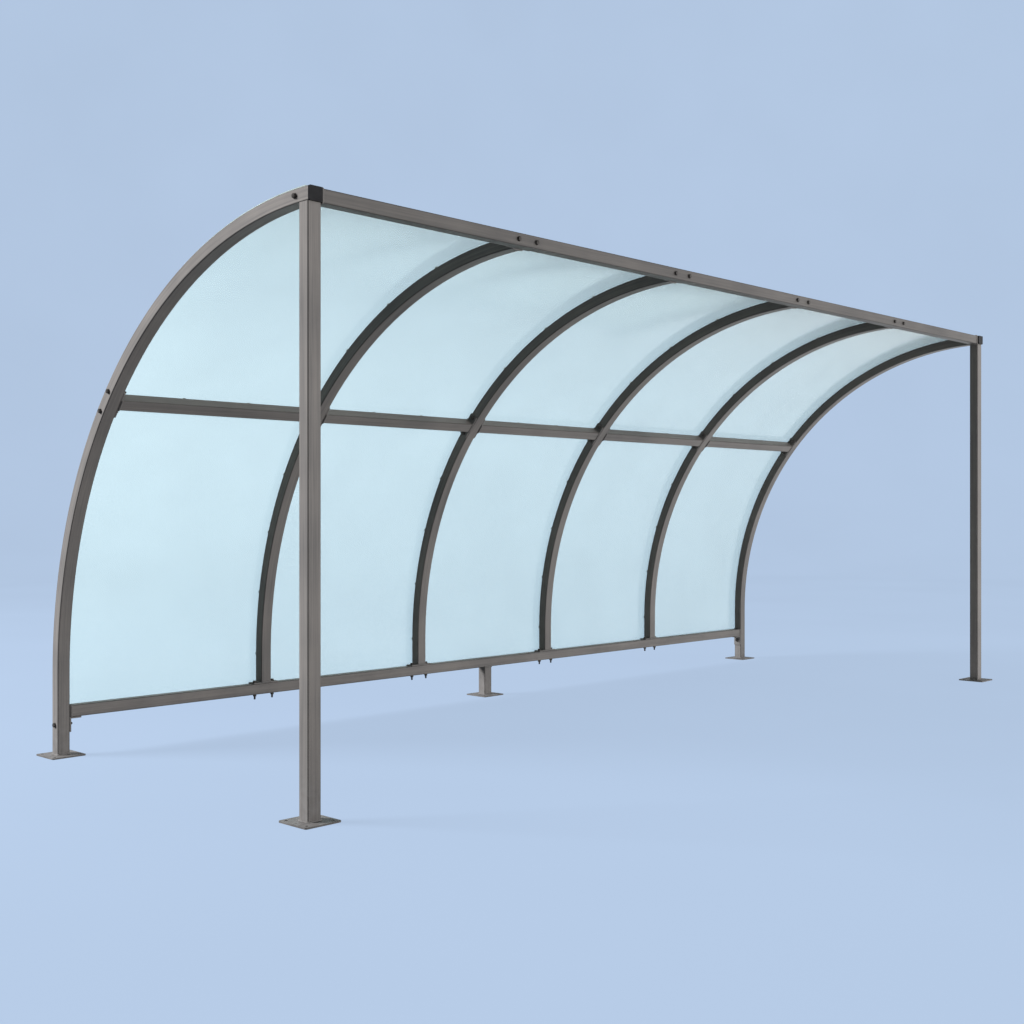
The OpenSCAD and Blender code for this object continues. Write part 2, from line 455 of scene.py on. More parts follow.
class SharedEffects:
    """The node groups that several finishes use, each built once."""

    def __init__(self, plan: ShelterPlan) -> None:
        """Builds every group for this shelter.

        Args:
            plan: where the curve's centre is.
        """
        self.rib_run = self._rib_run(plan)
        self.drawn_lines = self._drawn_lines()
        self.coat_unevenness = self._coat_unevenness()
        self.settled_dust = self._settled_dust()
        self.painted_shade_corners = self._painted_shade_corners()

    @staticmethod
    def _rib_run(plan: ShelterPlan) -> Tree:
        """Turns a place on a bent tube into a place along it.

        On the straight leg the run is the height below the curve's start. On the curve it is the
        radius times the angle. The depth is the distance from the centre of the curve.

        Args:
            plan: where the curve's centre is.

        Returns:
            The group, from Position to Run, whose X is the length along the tube.
        """
        graph, source, sink = empty_group("RibRun", {"Position": "Vector"}, {"Run": "Vector"})
        across, back, height = graph.split(source.outputs[0])
        back = graph.math("SUBTRACT", back, plan.curve_y)
        height = graph.math("SUBTRACT", height, plan.curve_z)
        above = graph.math("MAXIMUM", height, 0.0)
        below = graph.math("MINIMUM", height, 0.0)
        bend = graph.math("MULTIPLY", graph.math("ARCTAN2", above, back), CURVE_RADIUS)
        squares = [graph.math("MULTIPLY", side, side) for side in (back, above)]
        depth = graph.math("SQRT", graph.math("ADD", *squares))
        graph.feed(sink, {"Run": graph.join(graph.math("ADD", bend, below), across, depth)})
        return graph.tree

    @staticmethod
    def _drawn_lines() -> Tree:
        """Faint lines along a drawn tube: noise stretched along X, coarse and fine added together.

        Returns:
            The group, from Run and Fineness to Lines, a value about a half.
        """
        graph, source, sink = empty_group(
            "DrawnLines", {"Run": "Vector", "Fineness": "Float"}, {"Lines": "Float"})
        long_run = graph.vector_math("MULTIPLY", source.outputs["Run"], (0.012, 1.0, 1.0))
        inputs = {0: long_run, 3: source.outputs["Fineness"]}
        finer = graph.add("VectorMath", inputs, operation="SCALE").outputs[0]
        coarse, fine = graph.noise(finer, 1.0, 2.0, 0.6), graph.noise(finer, 4.3, 3.0, 0.7)
        graph.feed(sink, {"Lines": graph.weighed(coarse, fine, 0.6)})
        return graph.tree

    @staticmethod
    def _painted_shade_corners() -> Tree:
        """Marks the rounded corners of a tube, where painted shade darkens the coat.

        Side is the direction square to one pair of walls. On a wall the surface's direction lies along
        Side or square to it, and on a corner it lies between: the smaller of its part along Side and
        its part square to Side rises from nothing to 0.7 there.

        Returns:
            The group, from Direction and Side to Corner, from 0 to 1.
        """
        graph, source, sink = empty_group(
            "PaintedShadeCorners", {"Direction": "Vector", "Side": "Vector"}, {"Corner": "Float"})
        dot = graph.add("VectorMath", dict(enumerate(source.outputs[:2])), operation="DOT_PRODUCT")
        along = graph.math("ABSOLUTE", dot.outputs["Value"])
        rest = graph.math("SUBTRACT", 1.0, graph.math("MULTIPLY", along, along), clamp=True)
        smaller = graph.math("MINIMUM", along, graph.math("SQRT", rest))
        graph.feed(sink, {"Corner": graph.span(smaller, 0.12, 0.45)})
        return graph.tree

    @staticmethod
    def _coat_unevenness() -> Tree:
        """A powder coat's unevenness: broad soft patches, and a fine pebbled skin.

        Returns:
            The group, from Position to Patches and Pebbles, both about a half.
        """
        graph, source, sink = empty_group(
            "CoatUnevenness", {"Position": "Vector"}, {"Patches": "Float", "Pebbles": "Float"})
        patches = graph.noise(source.outputs[0], 3.1, 4.0, 0.55)
        pebbles = graph.noise(source.outputs[0], 900.0, 1.0)
        graph.feed(sink, {"Patches": patches, "Pebbles": pebbles})
        return graph.tree

    @staticmethod
    def _settled_dust() -> Tree:
        """Dust near the ground: strongest at the bottom, broken up by noise, gone at the reach.

        Returns:
            The group, from Position, Reach and Amount to Dust, from 0 to 1.
        """
        inputs = {"Position": "Vector", "Reach": "Float", "Amount": "Float"}
        graph, source, sink = empty_group("SettledDust", inputs, {"Dust": "Float"})
        place, reach, amount = (source.outputs[label] for label in inputs)
        climb = graph.math("DIVIDE", graph.split(place)[2], reach)
        fade = graph.math("SUBTRACT", 1.0, climb, clamp=True)
        broken = graph.span(graph.noise(place, 34.0, 5.0, 0.62), 0.35, 0.7)
        dust = graph.math("MULTIPLY", graph.math("MULTIPLY", fade, fade), broken)
        graph.feed(sink, {"Dust": graph.math("MULTIPLY", dust, amount, clamp=True)})
        return graph.tree


def new_material(name: str) -> tuple[Material, ShaderGraph, Node, Socket]:
    """A material with one Principled shader on its output.

    Args:
        name: the material's name.

    Returns:
        The material, its graph, the shader and the Object coordinates.
    """
    material = bpy.data.materials.new(name)
    material.use_nodes = True
    material.node_tree.nodes.clear()
    graph = ShaderGraph(material.node_tree)
    shader = graph.add("BsdfPrincipled")
    graph.add("OutputMaterial", {"Surface": shader.outputs[0]})
    return material, graph, shader, graph.add("TexCoord").outputs["Object"]


def rgba(colour: Colour) -> Shade:
    """A colour with full alpha."""
    return (*colour, 1.0)


def scaled(colour: Colour, by: float) -> Colour:
    """A colour made lighter or darker by a factor."""
    return tuple(c * by for c in colour)


def shade(colour: Colour, by: float) -> Shade:
    """The same, with full alpha."""
    return rgba(scaled(colour, by))


# ---------------- finishes


COAT_COLOUR: Colour = (0.133, 0.122, 0.114)
# Painted shade on the tubes' rounded corners.
PAINTED_CORNER_SHADE_TONE = 0.12     # how dark a tube's corners may get, as a share of the coat's colour
MIDDLE_BAND = (0.3, 0.7)  # where most of a noise's values lie


class Grain(Enum):
    """Which way a painted member's faint lines run."""

    ALONG_X = "along_x"
    UPRIGHT = "upright"
    CURVED = "curved"
    PLATE = "plate"


@dataclass(frozen=True)
class PaintedSteel:
    """Satin brownish grey coat over drawn steel tube.

    Args:
        name: the material's name.
        grain: which way the lines run.
        colour: the coat's middle colour.
        metallic: how far the coat reads as metal.
        roughness: middle roughness.
        line_tone: how much the lines darken and lighten the colour.
        fineness: how many coarse lines to a metre.
        dust_reach: how high dust climbs from the ground.
        dust: how strong the dust is.
        dust_colour: the dust's colour.
        side: the direction square to one pair of the tube's walls.
        painted_corner_shade: how much painted shade darkens the coat on the tube's rounded corners.
    """

    name: str
    grain: Grain
    colour: Colour = COAT_COLOUR
    metallic: float = 0.25
    roughness: float = 0.45
    line_tone: float = 0.34
    fineness: float = 150.0
    dust_reach: float = 0.35
    dust: float = 0.18
    dust_colour: Colour = (0.30, 0.30, 0.31)
    side: Point = (1.0, 0.0, 0.0)
    painted_corner_shade: float = 0.5

    def material(self, effects: SharedEffects) -> Material:
        """Builds the material.

        Args:
            effects: the shared node groups.

        Returns:
            The material.
        """
        material, graph, shader, place = new_material(self.name)
        run = self._run(graph, effects, place)
        lines = graph.group(effects.drawn_lines, {"Run": run, "Fineness": self.fineness}).outputs[0]
        coat = graph.group(effects.coat_unevenness, {"Position": place}).outputs
        settled = {"Position": place, "Reach": self.dust_reach, "Amount": self.dust}
        dust = graph.group(effects.settled_dust, settled).outputs[0]
        tone = graph.weighed(lines, coat["Patches"], 0.65)
        cool = (self.colour[0] * 0.94, self.colour[1] * 0.99, self.colour[2] * 1.06)
        low, high = shade(cool, 1 - self.line_tone), shade(self.colour, 1 + self.line_tone)
        painted = graph.blend(graph.span(tone, 0.32, 0.68), low, high)
        # Painted shade: the coat is darkened on the tube's rounded corners.
        facing = graph.add("TexCoord").outputs["Normal"]
        corner = graph.group(effects.painted_shade_corners, {"Direction": facing, "Side": self.side}).outputs[0]
        shade_in_corner = graph.math("MULTIPLY", corner, self.painted_corner_shade)
        with_painted_shade = graph.blend(shade_in_corner, painted, shade(self.colour, PAINTED_CORNER_SHADE_TONE))
        rough = graph.span(tone, *MIDDLE_BAND, self.roughness + 0.07, self.roughness - 0.07)
        graph.feed(shader, {
            "Base Color": graph.blend(dust, with_painted_shade, rgba(self.dust_colour)),
            "Roughness": graph.math("ADD", rough, graph.math("MULTIPLY", dust, 0.3), clamp=True),
            "Normal": graph.bump(0.12, 0.0004, graph.weighed(lines, coat["Pebbles"], 0.6)),
            "Metallic": self.metallic,
            "Specular IOR Level": 0.35,
        })
        return material

    def _run(self, graph: ShaderGraph, effects: SharedEffects, place: Socket) -> Socket:
        """The coordinates whose X runs along the member.

        Args:
            graph: the material's graph.
            effects: the shared node groups.
            place: the Object coordinates.

        Returns:
            The coordinates for the lines.
        """
        if self.grain is Grain.CURVED:
            return graph.group(effects.rib_run, {"Position": place}).outputs[0]
        if self.grain is Grain.UPRIGHT:
            across, back, up = graph.split(place)
            return graph.join(up, across, back)
        if self.grain is Grain.PLATE:
            return graph.add("Mapping", {"Vector": place, "Scale": (20.0, 0.4, 0.4)}).outputs[0]
        return place


@dataclass(frozen=True)
class ClearSheet:
    """Clear sheet with a pale blue-green tint, a little haze, and light smears of dust.

    Args:
        name: the material's name.
        tint: colour of what comes through and of the haze.
        clear: share that is clear, against haze.
        roughness: how soft the reflections are.
        scatter: share of the surface that passes light on softly from behind.
        lets_light: share of lamp light that comes through each face.
    """

    name: str = "clear_tinted_sheet"
    tint: Colour = (0.86, 0.97, 0.95)
    clear: float = 0.93
    roughness: float = 0.125
    scatter: float = 0.104
    lets_light: float = 0.15

    def material(self, effects: SharedEffects) -> Material:
        """Builds the material, with lamps reaching what is behind it.

        Args:
            effects: the shared node groups.

        Returns:
            The material.
        """
        material, graph, shader, place = new_material(self.name)
        patches = graph.group(effects.coat_unevenness, {"Position": place}).outputs["Patches"]
        paler = graph.span(patches, *MIDDLE_BAND)
        colour = graph.blend(paler, shade(self.tint, 0.98), shade(self.tint, 1.02))
        smears = graph.span(graph.noise(place, 2.2), 0.35, 0.65)
        graph.feed(shader, {
            "Base Color": colour,
            "Roughness": graph.math("ADD", self.roughness, graph.math("MULTIPLY", smears, 0.03)),
            "Normal": graph.bump(0.02, 0.002, graph.noise(place, 1.6, 1.0, 0.4)),
            "Transmission Weight": self.clear,
            "IOR": 1.5,
        })
        soft = graph.add("BsdfTranslucent", {0: colour}).outputs[0]
        passing = graph.add("BsdfTransparent", {0: shade(self.tint, self.lets_light)}).outputs[0]
        sheet = graph.add("MixShader", {0: self.scatter, 1: shader.outputs[0], 2: soft}).outputs[0]
        lamp_rays = graph.add("LightPath").outputs["Is Shadow Ray"]
        either = graph.add("MixShader", {0: lamp_rays, 1: sheet, 2: passing}).outputs[0]
        output = next(n for n in graph.tree.nodes if n.bl_idname == "ShaderNodeOutputMaterial")
        graph.feed(output, {"Surface": either})
        return material


@dataclass(frozen=True)
class PlainFinish:
    """A finish with fine and broad variation, for caps, fasteners and rubber.

    Args:
        name: the material's name.
        colour: middle colour.
        metallic: share of metal.
        roughness: middle roughness.
        skin: how many bumps to a metre the fine texture has.
        relief: how strong that texture is.
        spread: how much the colour varies.
        shine: level of the plain reflection.
    """

    name: str
    colour: Colour
    metallic: float
    roughness: float
    skin: float
    relief: float
    spread: float = 0.25
    shine: float = 0.5

    def material(self, effects: SharedEffects) -> Material:
        """Builds the material.

        Args:
            effects: the shared node groups.

        Returns:
            The material.
        """
        material, graph, shader, place = new_material(self.name)
        nearer = graph.vector_math("MULTIPLY", place, (12.0, 12.0, 12.0))
        patches = graph.group(effects.coat_unevenness, {"Position": nearer}).outputs["Patches"]
        low, high = shade(self.colour, 1 - self.spread), shade(self.colour, 1 + self.spread)
        graph.feed(shader, {
            "Base Color": graph.blend(graph.span(patches, *MIDDLE_BAND), low, high),
            "Roughness": graph.span(patches, *MIDDLE_BAND, self.roughness + 0.08, self.roughness - 0.06),
            "Normal": graph.bump(self.relief, 0.0003, graph.noise(place, self.skin, 2.0, 0.6)),
            "Metallic": self.metallic,
            "Specular IOR Level": self.shine,
        })
        return material


# ---------------- bolts


def from_flat(angle: np.ndarray) -> np.ndarray:
    """Each direction's angle from the middle of the nearest flat of a hexagon."""
    return (angle + math.pi / 6) % (math.pi / 3) - math.pi / 6


@dataclass(frozen=True)
class HexBolt:
    """A 10 mm hexagon bolt with its washers and nut.

    Args:
        radius: outside of the thread.
        pitch: rise of the thread in one turn.
        across_flats: width of the head and the nut over their flats.
        head: height of the head.
        nut: height of the nut.
        washer: thickness of a washer.
        washer_radius: outside of a washer.
        sides: points round a head or a washer, a multiple of twelve.
    """

    radius: float = 0.005
    pitch: float = 0.0015
    across_flats: float = 0.016
    head: float = 0.0064
    nut: float = 0.0084
    washer: float = 0.002
    washer_radius: float = 0.010
    sides: int = 36

    def build(self, grip: float, tail: float) -> Surface:
        """The bolt with its head's bearing face at zero and its axis along Z, out of the head.

        Args:
            grip: thickness of what it holds.
            tail: length of thread that shows past the nut.

        Returns:
            The bolt, two washers and the nut.
        """
        nut_top = -grip - self.washer
        nut_foot = nut_top - self.nut
        return Surface.joined([
            self._washer(0.0),
            self._hexagon(self.washer, self.head, chamfer_foot=False),
            self._washer(nut_top),
            self._hexagon(nut_foot, self.nut, chamfer_foot=True),
            self._rod(nut_foot - tail, self.washer + self.head / 2, nut_foot + self.pitch),
        ])

    def _washer(self, foot: float) -> Surface:
        """A flat washer with slightly rounded rims, from its foot height up."""
        ease = self.washer * 0.2
        heights = foot + np.array([0.0, 0.0, ease, self.washer - ease, self.washer, self.washer])
        rim = self.washer_radius
        radii = np.array([self.radius, rim - ease, rim, rim, rim - ease, self.radius])
        return turned_solid(radii, heights, self.sides)

    def _hexagon(self, foot: float, height: float, chamfer_foot: bool) -> Surface:
        """A hexagon whose corners a shallow cone cuts away.

        The radius at an angle is that of the flat there, half the width over the cosine of the angle
        from the flat's middle, or the cone's radius where that is less. The cone starts inside the
        flats at the face and widens at thirty degrees from it.

        Args:
            foot: height of the lower face.
            height: from face to face.
            chamfer_foot: true if the lower face's corners are cut away too.

        Returns:
            The solid.
        """
        half = self.across_flats / 2
        angle = np.arange(self.sides) / self.sides * FULL_TURN
        flat = half / np.cos(from_flat(angle))
        drop = np.array([0.0, 0.0002, 0.0006, 0.0011, 0.0018])
        cone = half * 0.95 + drop / math.tan(math.radians(30))
        top = np.minimum(flat[None, :], cone[:, None])[::-1]
        upper = height - drop[::-1]
        if chamfer_foot:
            radii, heights = np.concatenate([top[::-1], top]), np.concatenate([drop, upper])
        else:
            radii, heights = np.concatenate([flat[None, :], top]), np.concatenate([[0.0], upper])
        return turned_solid(radii, foot + heights, self.sides)

    def _rod(self, end: float, top: float, plain_above: float) -> Surface:
        """The shank with its thread.

        The thread's radius is a triangle wave of the height over the pitch less the turn, so the
        ridge climbs one pitch in a turn. It fades to the plain shank above, and is cut to a
        shallow point at the end.

        Args:
            end: height of the thread's end.
            top: height where the shank ends inside the head.
            plain_above: height above which it is plain.

        Returns:
            The solid.
        """
        sides, rows_a_turn, tip, tip_cut = 20, 6, 0.0015, 0.0016
        rows = max(8, round((plain_above - end) / self.pitch * rows_a_turn))
        heights = np.concatenate([np.linspace(end, plain_above, rows), [top]])
        angle = np.arange(sides) / sides
        wave = np.abs(((heights[:, None] / self.pitch - angle[None, :]) % 1.0) * 2 - 1)
        depth = self.pitch * 0.55 * wave
        depth[-1] = 0.0
        point = np.clip((heights - end) / tip, 0, 1) * tip_cut - tip_cut
        return turned_solid(self.radius - depth + point[:, None], heights, sides)


@dataclass(frozen=True)
class BoltSet:
    """Bolts of one joint, each with its own place and direction.

    Args:
        name: the piece's name.
        grip: thickness of what they hold.
        tail: length of thread past the nut.
        seed: for how far each bolt happens to be turned.
        places: for each bolt, where its head bears and which way it points.
    """

    name: str
    grip: float
    tail: float
    seed: int
    places: list[tuple[Point, Point]]

    def build(self, material: Material) -> Piece:
        """Makes the piece, with every bolt at its own turn.

        Args:
            material: the fasteners' finish.

        Returns:
            The piece, riding on the frame.
        """
        turns = np.random.default_rng(self.seed).uniform(0, FULL_TURN, len(self.places))
        seats, outward = (np.array(column, float) for column in zip(*self.places))
        bolts = HexBolt().build(self.grip, self.tail).repeated(seats, axes_from(outward, turns))
        return bolts.to_piece(self.name, material, "painted_frame")


@dataclass(frozen=True)
class FrameBolts:
    """Every through-bolt of the frame.

    Args:
        plan: the shelter's places.
        pair: half the distance between the two bolts of a pair.
        mid_pair: the same at the middle rails, along the curve.
        end_back: how far behind the header's back face the header's end bolts are.
        bracket_rise: how far above the middle of the brackets' free part their bolts are.
        tail: thread showing past most nuts.
        foot_tail: thread showing under the bottom rail.
    """

    plan: ShelterPlan
    pair: float = 0.050
    mid_pair: float = 0.049
    end_back: float = 0.021
    bracket_rise: float = 0.002
    tail: float = 0.006
    foot_tail: float = 0.015

    def build(self, material: Material) -> list[Piece]:
        """Builds the bolts joint by joint.

        Args:
            material: the fasteners' finish.

        Returns:
            The pieces.
        """
        head_spot = (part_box("header_beam")[1].y + self.end_back, middle("header_plates")[2])
        free_part = (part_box("bottom_rail_brackets")[0].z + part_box("bottom_rail")[0].z) / 2
        low_spot = (middle("bottom_rail")[1], free_part + self.bracket_rise)
        sets = [
            self._header(),
            self._at_ends("header_end_bolts", "header_beam", 4, [head_spot]),
            self._at_ends("middle_rail_end_bolts", "mid_rail_1", 5, self._middle_pair()),
            self._middle_at_ribs(),
            self._at_ends("bottom_rail_bolts", "bottom_rail", 7, [low_spot]),
            self._feet(),
        ]
        return [bolts.build(material) for bolts in sets]

    def _at_ends(self, name: str, rail: str, seed: int, spots: list[tuple[float, float]]) -> BoltSet:
        """Bolts through both end ribs into what a rail's ends carry.

        Args:
            name: the piece's name.
            rail: the rail that starts where the bolts' grip ends.
            seed: for the bolts' turns.
            spots: Y and Z of each bolt.

        Returns:
            The bolts, the left end's first.
        """
        ends = ((self.plan.left_face, -1.0), (self.plan.right_face, 1.0))
        places = [((face, y, z), (sign, 0, 0)) for face, sign in ends for y, z in spots]
        return BoltSet(name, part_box(rail)[0].x - self.plan.left_face, self.tail, seed, places)

    def _pairs(self) -> list[float]:
        """X of the two bolts beside each inner rib."""
        return [x + side for x in self.plan.rib_x for side in (-self.pair, self.pair)]

    def _header(self) -> BoltSet:
        """Pairs through the header into each inner rib's head plate."""
        front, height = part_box("header_beam")[0].y, middle("header_beam")[2]
        places = [((x, front, height), (0, -1, 0)) for x in self._pairs()]
        return BoltSet("header_bolts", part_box("rib_head_plates")[1].y - front, self.tail, 3, places)

    def _middle_at_ribs(self) -> BoltSet:
        """Pairs through each inner rib and the two plates beside it."""
        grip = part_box("mid_rail_2")[0].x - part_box("mid_rail_1")[1].x
        places = [
            ((x - grip / 2, y, z), (-1, 0, 0)) for x in self.plan.rib_x for y, z in self._middle_pair()]
        return BoltSet("middle_rail_rib_bolts", grip, self.tail, 6, places)

    def _middle_pair(self) -> list[tuple[float, float]]:
        """Y and Z of the two bolts either side of the middle rail, along the curve's tangent."""
        plan = self.plan
        cos, sin = math.cos(plan.mid_angle), math.sin(plan.mid_angle)
        y, z = plan.curve_y + plan.mid_radius * cos, plan.curve_z + plan.mid_radius * sin
        return [(y - sin * side, z + cos * side) for side in (-self.mid_pair, self.mid_pair)]

    def _feet(self) -> BoltSet:
        """Pairs down through each inner rib's foot plate and the bottom rail."""
        top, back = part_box("rib_foot_plates")[1].z, middle("bottom_rail")[1]
        places = [((x, back, top), (0, 0, 1)) for x in self._pairs()]
        return BoltSet("rib_foot_bolts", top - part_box("bottom_rail")[0].z, self.foot_tail, 8, places)


# ---------------- welds


@dataclass(frozen=True)
class WeldBeads:
    """Rippled fillet welds round the tubes where they stand on plates.

    Args:
        plan: the shelter's places.
        radius: the bead's own radius.
        ripple: distance from one ripple to the next.
        corner: the tubes' corner radius.
        lift: how far the bead's middle is off the tube and off the plate.
    """

    plan: ShelterPlan
    radius: float = 0.0036
    ripple: float = 0.0032
    corner: float = 0.005
    lift: float = 0.0004

    def build(self, material: Material) -> list[Piece]:
        """Builds the welds in three pieces.

        Args:
            material: the coat over them.

        Returns:
            The pieces.
        """
        welds = {"foot": self._foot_welds(), "rib": self._rib_welds(), "rail": self._rail_welds()}
        return [
            weld.to_piece(f"{where}_welds", material, "painted_frame") for where, weld in welds.items()]

    def _bead(self, half_x: float, half_y: float) -> Surface:
        """One closed bead in the XY plane, round a tube that runs along Z.

        Round the bead the point is the outline's point, plus the bead's radius times cosine outwards
        and sine up. The radius swells and sinks along the outline as overlapping ripples, which lean
        back where they meet the plate.

        Args:
            half_x: half the tube's side along X.
            half_y: half its side along Y.

        Returns:
            The bead.
        """
        steps, sides = 5, 8
        waves = round(4 * (half_x + half_y) / self.ripple)
        along = np.arange(waves * steps)
        outline, outward = rounded_outline(half_x, half_y, self.corner, len(along))
        angle = np.arange(sides) / sides * FULL_TURN
        phase = along[:, None] / steps + 0.25 * np.cos(angle)[None, :]
        swell = self.radius * (1 + 0.16 * (np.sqrt(np.abs(np.sin(math.pi * phase))) - 0.6))
        reach = self.lift + swell * np.cos(angle)[None, :]
        flat = outline[:, None, :] + outward[:, None, :] * reach[..., None]
        rise = self.lift + swell * np.sin(angle)[None, :]
        return Surface.from_loop(np.concatenate([flat, rise[..., None]], -1))

    @staticmethod
    def _placed(bead: Surface, places: list[Point], x_axis: Point, z_axis: Point) -> Surface:
        """Copies of a bead at places, all with the same axes."""
        x, z = np.array(x_axis, float), np.array(z_axis, float)
        frame = np.stack([x, np.cross(z, x), z])
        return bead.repeated(np.array(places), np.repeat(frame[None], len(places), axis=0))

    def _foot_welds(self) -> Surface:
        """Round the posts, end ribs and centre foot on their base plates, and under the rail."""
        half_y = self.plan.tube_depth / 2
        places = []
        for name in ("left_post", "right_post", "left_end_rib", "right_end_rib", "centre_foot"):
            lo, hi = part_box(name)
            y = lo.y + half_y if name.endswith("post") else hi.y - half_y
            places.append((middle(name)[0], y, lo.z))
        under = (*places[-1][:2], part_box("centre_foot")[1].z)
        bead = self._bead(self.plan.rib_width / 2, half_y)
        return Surface.joined([
            self._placed(bead, places, (1, 0, 0), (0, 0, 1)),
            self._placed(bead, [under], (1, 0, 0), (0, 0, -1)),
        ])

    def _rib_welds(self) -> Surface:
        """Round the inner ribs at their foot plates and head plates."""
        half_y = self.plan.tube_depth / 2
        bead = self._bead(self.plan.rib_width / 2, half_y)
        boxes = [(x, *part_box(f"inner_rib_{i}")) for i, x in zip(INNER_RIBS, self.plan.rib_x)]
        return Surface.joined([
            self._placed(bead, [(x, hi.y - half_y, lo.z) for x, lo, hi in boxes], (1, 0, 0), (0, 0, 1)),
            self._placed(bead, [(x, lo.y, hi.z - half_y) for x, lo, hi in boxes], (1, 0, 0), (0, 1, 0)),
        ])

    def _rail_welds(self) -> Surface:
        """Round the ends of the header, the bottom rail and every middle rail."""
        half = self.plan.tube_depth / 2
        bead = self._bead(half, half)
        tilted = (0, math.cos(self.plan.mid_angle), math.sin(self.plan.mid_angle))
        rails = {f"mid_rail_{i}": tilted for i in BAYS}
        rails |= {"bottom_rail": (0, 1, 0), "header_beam": (0, 1, 0)}
        parts = []
        for name, radial in rails.items():
            for corner, sign in zip(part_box(name), (1, -1)):
                parts.append(self._placed(bead, [(corner.x, *middle(name)[1:])], radial, (sign, 0, 0)))
        return Surface.joined(parts)


# ---------------- sheet screws


@dataclass(frozen=True)
class SheetScrews:
    """Hexagon screws on sealing washers that hold the sheets from outside.

    Args:
        plan: the shelter's places.
        spacing: about how far apart they are.
        edge: distance from a sheet's edge.
        rail_margin: how far a row along a rail starts from a sheet's side edge.
        rail_rise: how far the lowest row is above the middle of the bottom rail.
        top_angle: how far round the curve heads may stand up, in radians.
        across_flats: width of a head over its flats.
        seed: for how far each screw happens to be turned.
    """

    plan: ShelterPlan
    spacing: float = 0.30
    edge: float = 0.016
    rail_margin: float = 0.04
    rail_rise: float = 0.006
    top_angle: float = math.radians(84.4)
    across_flats: float = 0.008
    seed: int = 11

    def build(self, steel: Material, rubber: Material) -> list[Piece]:
        """Builds the heads and their washers.

        Args:
            steel: the heads' finish.
            rubber: the washers' finish.

        Returns:
            The two pieces.
        """
        origins, out = self._places()
        turns = np.random.default_rng(self.seed).uniform(0, FULL_TURN, len(origins))
        frames = axes_from(out, turns)
        rims, rises = np.array([0.0072, 0.0082, 0.0078, 0.006]), np.array([0.0, 0.0006, 0.0016, 0.0022])
        return [
            turned_solid(rims, rises, 16).repeated(origins, frames).to_piece(
                "sheet_screw_washers", rubber, "black_plastic"),
            self._head().repeated(origins, frames).to_piece("sheet_screw_heads", steel, "painted_frame"),
        ]

    def _head(self) -> Surface:
        """A round flange, then a hexagon: half its width over the cosine from the flat."""
        sides = 12
        flat = self.across_flats / 2 / np.cos(from_flat(np.arange(sides) / sides * FULL_TURN))
        flange = [np.full(sides, radius) for radius in (0.0068, 0.0070, 0.0066)]
        radii = np.stack([*flange, flat, flat, flat * 0.93, np.full(sides, 0.0030)])
        heights = np.array([0.0018, 0.0022, 0.0028, 0.0029, 0.0058, 0.0063, 0.0064])
        return turned_solid(radii, heights, sides)

    def _places(self) -> tuple[np.ndarray, np.ndarray]:
        """Rows down every rib, both sides of the middle rail, and along the bottom rail.

        Returns:
            The seats on the sheets' outer face and the outward directions.
        """
        plan = self.plan
        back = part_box("lower_sheet_1")[1].y
        radius = back - plan.curve_y
        columns, across = self._columns(), self._across()
        seam = self.edge / radius
        spans = [(0.0, plan.mid_angle - 3 * seam), (plan.mid_angle + 3 * seam, self.top_angle)]
        angles = np.concatenate([self._even(a * radius, b * radius) / radius for a, b in spans])
        grid_x, grid_a = (grid.ravel() for grid in np.meshgrid(columns, angles))
        centre = np.array([0, plan.curve_y, plan.curve_z])
        places = [plan.on_curve(grid_x, radius, grid_a)]
        out = [plan.on_curve(np.zeros(grid_a.size), 1.0, grid_a) - centre]
        for angle in (plan.mid_angle - seam, plan.mid_angle + seam):
            places.append(plan.on_curve(across, radius, np.full(across.size, angle)))
            out.append(np.tile([0, math.cos(angle), math.sin(angle)], (across.size, 1)))
        low = np.concatenate([across, columns])
        height = middle("bottom_rail")[2] + self.rail_rise
        places.append(np.stack([low, np.full(low.size, back), np.full(low.size, height)], -1))
        out.append(np.tile([0.0, 1.0, 0.0], (low.size, 1)))
        return np.concatenate(places), np.concatenate(out)

    @staticmethod
    def _sheet_edges() -> list[tuple[float, float]]:
        """X of each lower sheet's two side edges."""
        return [tuple(corner.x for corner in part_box(f"lower_sheet_{i}")) for i in BAYS]

    def _columns(self) -> np.ndarray:
        """X of every upright row: one by each side edge of every sheet."""
        return np.array([x for lo, hi in self._sheet_edges() for x in (lo + self.edge, hi - self.edge)])

    def _across(self) -> np.ndarray:
        """X of the screws along each rail, between the upright rows of every sheet."""
        margin = self.rail_margin
        rows = [self._even(lo + margin, hi - margin)[1:-1] for lo, hi in self._sheet_edges()]
        return np.concatenate(rows)

    def _even(self, start: float, stop: float) -> np.ndarray:
        """Even places from start to stop, about the usual spacing apart."""
        return np.linspace(start, stop, max(2, round((stop - start) / self.spacing) + 1))


